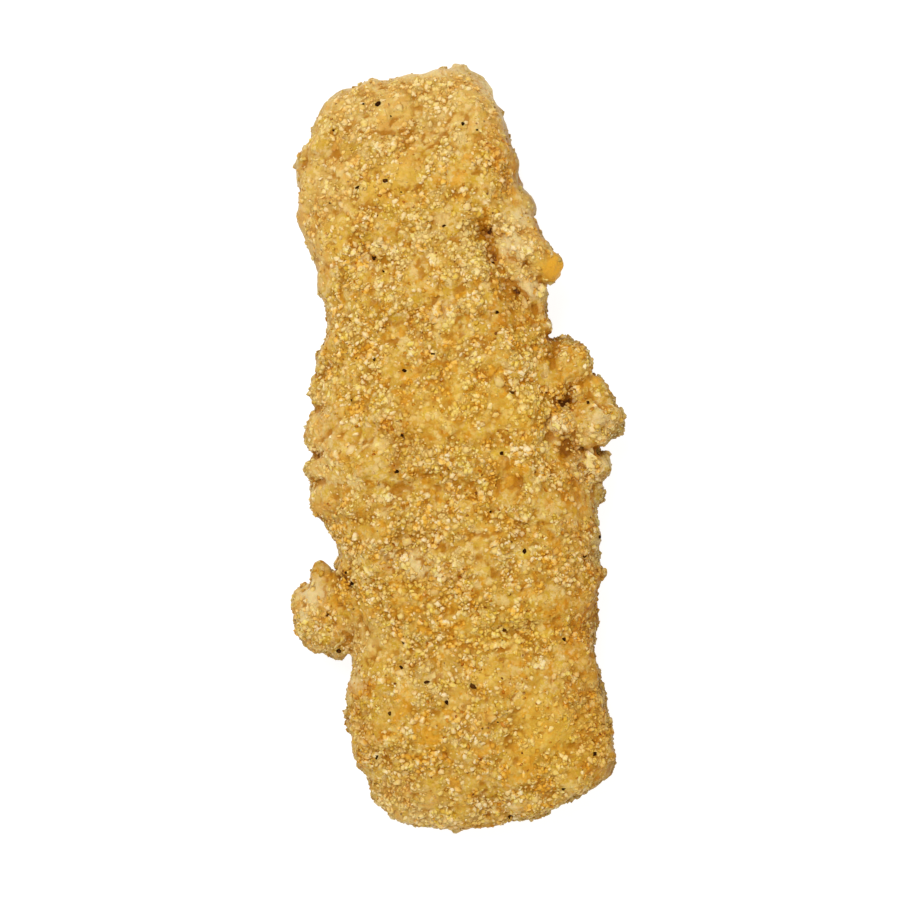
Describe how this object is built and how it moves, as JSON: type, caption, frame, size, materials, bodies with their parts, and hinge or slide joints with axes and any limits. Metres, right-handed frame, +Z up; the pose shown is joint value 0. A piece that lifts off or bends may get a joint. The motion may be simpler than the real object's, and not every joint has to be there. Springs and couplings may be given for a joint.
{
  "type": "breaded fish fillet",
  "caption": "Whole breaded pollock fillet: a long, thick strip of white fish in a knobbly golden crumb crust, flat below, ready to serve.",
  "frame": {"origin": "the middle of the bounding box on its bottom face, which is the plane of the flat underside", "axes": "+Y along the strip to its narrower end, +Z up from the flat underside, +X across the strip to the side with the cluster of batter lumps"},
  "size_m": [0.0702, 0.1522, 0.0228],
  "materials": {
    "crust": "fried crumb crust, golden batter with a slight oily sheen, mostly matte",
    "pale_crumbs": "dry pale cream crumbs, matte",
    "golden_crumbs": "fried golden crumbs, slightly oily",
    "amber_crumbs": "browner fried crumbs, slightly oily",
    "pepper": "ground black pepper, matte"
  },
  "bodies": {
    "root": {"breaded_fillet": "crust"}
  },
  "joints": []
}
